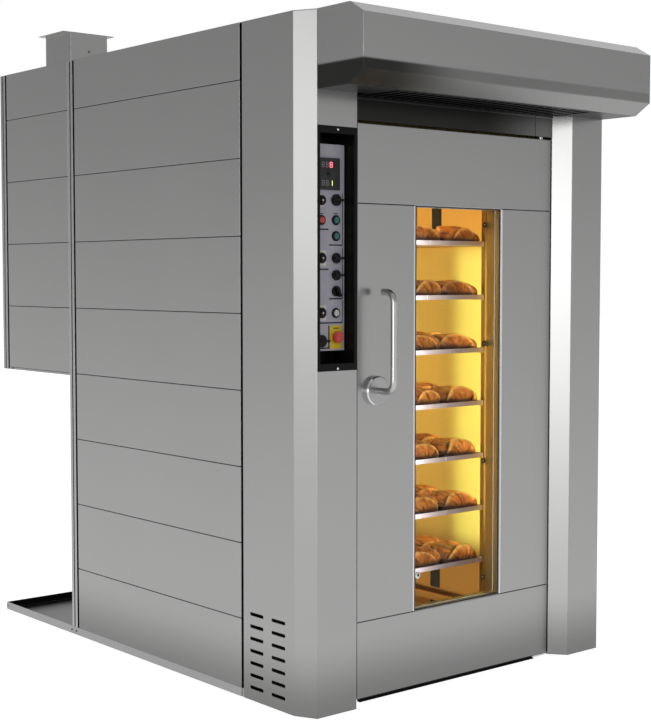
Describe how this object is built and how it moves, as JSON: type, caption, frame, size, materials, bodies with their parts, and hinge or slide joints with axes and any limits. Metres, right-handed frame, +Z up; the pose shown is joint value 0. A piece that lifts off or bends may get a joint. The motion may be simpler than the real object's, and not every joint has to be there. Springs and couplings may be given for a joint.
{
  "type": "rotating rack oven",
  "caption": "Tall free-standing rack oven with hood, glazed hinged door, recessed controls, a rotating tray trolley inside and a rear exchanger box with flue.",
  "frame": {"origin": "middle of the base on the floor, between the columns' front face and the rear of the base", "axes": "+X to the right seen from the front, +Y to the rear, +Z up"},
  "size_m": [1.5695, 2.6597, 2.525],
  "materials": {
    "casing": "satin",
    "posts": "satin",
    "base": "satin",
    "bright": "polished",
    "black_metal": "matt",
    "fan_alu": "satin",
    "seal": "matt",
    "liner": "satin",
    "lamp": "clear",
    "wool": "soft",
    "exchanger": "scaled",
    "burner": "satin",
    "motors": "satin",
    "screws": "satin",
    "niche": "satin",
    "plate": "satin",
    "black_plastic": "matt",
    "yellow": "semi-gloss",
    "red": "semi-gloss",
    "green": "semi-gloss",
    "white": "semi-gloss",
    "pane": "clear",
    "shaft": "turned",
    "trays": "satin",
    "crust": "baked crust",
    "wheels": "matt"
  },
  "bodies": {
    "oven": {"base_frame": "base", "service_tray": "casing", "corner_posts": "posts", "side_panels": "casing", "left_column": "casing", "right_column": "casing", "rear_casing": "casing", "roof_panels": "casing", "flue_duct": "casing", "hood_shell": "casing", "hood_filter": "black_metal", "door_header": "casing", "door_jamb": "casing", "door_gasket": "seal", "door_pivots": "shaft", "chamber_liner": "liner", "chamber_lamps": "lamp", "insulation": "wool", "heat_exchanger": "exchanger", "burner": "burner", "drive_motors": "motors", "case_screws": "screws", "control_niche": "niche", "control_panel": "plate", "temperature_controller": "black_plastic", "emergency_plate": "yellow"},
    "damper": {"flue_damper": "exchanger"},
    "hood_rotor": {"hood_fan": "fan_alu"},
    "fan_rotor": {"circulation_fan": "fan_alu"},
    "door": {"door_core": "wool", "door_sheets": "casing", "door_trim": "bright", "window_panes": "pane"},
    "handle": {"door_handle": "bright", "latch_spindle": "shaft"},
    "bolt": {"latch_bolt": "shaft"},
    "rack": {"rack_shaft": "shaft", "rack_frame": "posts", "baking_trays": "trays", "bread_loaves": "crust"},
    "left_swivel": {"caster_left": "shaft"},
    "right_swivel": {"caster_right": "shaft"},
    "front_left_wheel": {"wheel_front_left": "wheels"},
    "front_right_wheel": {"wheel_front_right": "wheels"},
    "rear_left_wheel": {"wheel_rear_left": "wheels"},
    "rear_right_wheel": {"wheel_rear_right": "wheels"},
    "thermostat": {"thermostat_dial": "black_plastic"},
    "program": {"program_selector": "black_plastic"},
    "stop": {"stop_button": "red"},
    "start": {"start_button": "green"},
    "steam": {"steam_button": "green"},
    "steam_time": {"steam_dial": "black_plastic"},
    "light": {"light_selector": "black_plastic"},
    "fan_switch": {"fan_selector": "black_plastic"},
    "rack_switch": {"rack_selector": "black_plastic"},
    "timer": {"timer_dial": "black_plastic"},
    "reset": {"reset_button": "white"},
    "mains": {"main_switch": "black_plastic"},
    "emergency": {"emergency_stop": "red"},
    "menu": {"menu_button": "black_plastic"}
  },
  "joints": [
    {"name": "door_swing", "type": "hinge", "parent": "oven", "child": "door", "pos_m": [0.463, -1.004, 1], "axis": [0, 0, 1], "range_deg": [0, 110]},
    {"name": "handle_turn", "type": "hinge", "parent": "door", "child": "handle", "pos_m": [-0.419, -1.024, 1.106], "axis": [0, 1, 0], "range_deg": [0, 90]},
    {"name": "bolt_throw", "type": "slide", "parent": "door", "child": "bolt", "axis": [-1, 0, 0], "range_m": [0, 0.0205]},
    {"name": "rack_turn", "type": "hinge", "parent": "oven", "child": "rack", "pos_m": [0, -0.334, 1.85], "axis": [0, 0, 1], "continuous": true},
    {"name": "left_caster_swivel", "type": "hinge", "parent": "rack", "child": "left_swivel", "pos_m": [-0.32, -0.674, 0.16], "axis": [0, 0, 1], "continuous": true},
    {"name": "right_caster_swivel", "type": "hinge", "parent": "rack", "child": "right_swivel", "pos_m": [0.32, -0.674, 0.16], "axis": [0, 0, 1], "continuous": true},
    {"name": "front_left_roll", "type": "hinge", "parent": "left_swivel", "child": "front_left_wheel", "pos_m": [-0.32, -0.649, 0.101], "axis": [1, 0, 0], "continuous": true},
    {"name": "front_right_roll", "type": "hinge", "parent": "right_swivel", "child": "front_right_wheel", "pos_m": [0.32, -0.649, 0.101], "axis": [1, 0, 0], "continuous": true},
    {"name": "rear_left_roll", "type": "hinge", "parent": "rack", "child": "rear_left_wheel", "pos_m": [-0.32, 0.006, 0.101], "axis": [1, 0, 0], "continuous": true},
    {"name": "rear_right_roll", "type": "hinge", "parent": "rack", "child": "rear_right_wheel", "pos_m": [0.32, 0.006, 0.101], "axis": [1, 0, 0], "continuous": true},
    {"name": "flue_damper_turn", "type": "hinge", "parent": "oven", "child": "damper", "pos_m": [-0.67, 0.6005, 2.45], "axis": [0, 1, 0], "range_deg": [0, 90]},
    {"name": "hood_fan_spin", "type": "hinge", "parent": "oven", "child": "hood_rotor", "pos_m": [0, -0.992, 2.27225], "axis": [0, 1, 0], "continuous": true},
    {"name": "circulation_fan_spin", "type": "hinge", "parent": "oven", "child": "fan_rotor", "pos_m": [0, 0.931, 2.075], "axis": [0, 1, 0], "continuous": true},
    {"name": "thermostat_turn", "type": "hinge", "parent": "oven", "child": "thermostat", "pos_m": [-0.6825, -1.038, 1.769], "axis": [0, 1, 0], "range_deg": [0, 270]},
    {"name": "program_turn", "type": "hinge", "parent": "oven", "child": "program", "pos_m": [-0.6175, -1.038, 1.7715], "axis": [0, 1, 0], "range_deg": [0, 180]},
    {"name": "steam_time_turn", "type": "hinge", "parent": "oven", "child": "steam_time", "pos_m": [-0.6825, -1.038, 1.573], "axis": [0, 1, 0], "range_deg": [0, 300]},
    {"name": "light_turn", "type": "hinge", "parent": "oven", "child": "light", "pos_m": [-0.6175, -1.038, 1.573], "axis": [0, 1, 0], "range_deg": [-90, 0]},
    {"name": "fan_turn", "type": "hinge", "parent": "oven", "child": "fan_switch", "pos_m": [-0.6175, -1.038, 1.515], "axis": [0, 1, 0], "range_deg": [-90, 0]},
    {"name": "rack_switch_turn", "type": "hinge", "parent": "oven", "child": "rack_switch", "pos_m": [-0.6175, -1.038, 1.46], "axis": [0, 1, 0], "range_deg": [-60, 30]},
    {"name": "timer_turn", "type": "hinge", "parent": "oven", "child": "timer", "pos_m": [-0.6825, -1.038, 1.386], "axis": [0, 1, 0], "range_deg": [0, 300]},
    {"name": "mains_turn", "type": "hinge", "parent": "oven", "child": "mains", "pos_m": [-0.6825, -1.038, 1.29], "axis": [0, 1, 0], "range_deg": [-90, 0]},
    {"name": "stop_press", "type": "slide", "parent": "oven", "child": "stop", "axis": [0, 1, 0], "range_m": [0, 0.004], "stiffness_N_per_m": 300},
    {"name": "start_press", "type": "slide", "parent": "oven", "child": "start", "axis": [0, 1, 0], "range_m": [0, 0.004], "stiffness_N_per_m": 300},
    {"name": "steam_press", "type": "slide", "parent": "oven", "child": "steam", "axis": [0, 1, 0], "range_m": [0, 0.004], "stiffness_N_per_m": 300},
    {"name": "reset_press", "type": "slide", "parent": "oven", "child": "reset", "axis": [0, 1, 0], "range_m": [0, 0.004], "stiffness_N_per_m": 300},
    {"name": "menu_press", "type": "slide", "parent": "oven", "child": "menu", "axis": [0, 1, 0], "range_m": [0, 0.0015], "stiffness_N_per_m": 300},
    {"name": "emergency_press", "type": "slide", "parent": "oven", "child": "emergency", "axis": [0, 1, 0], "range_m": [0, 0.005]}
  ],
  "couplings": [
    {"joint": "bolt_throw", "follows": "handle_turn", "m_per_rad": 0.013}
  ]
}
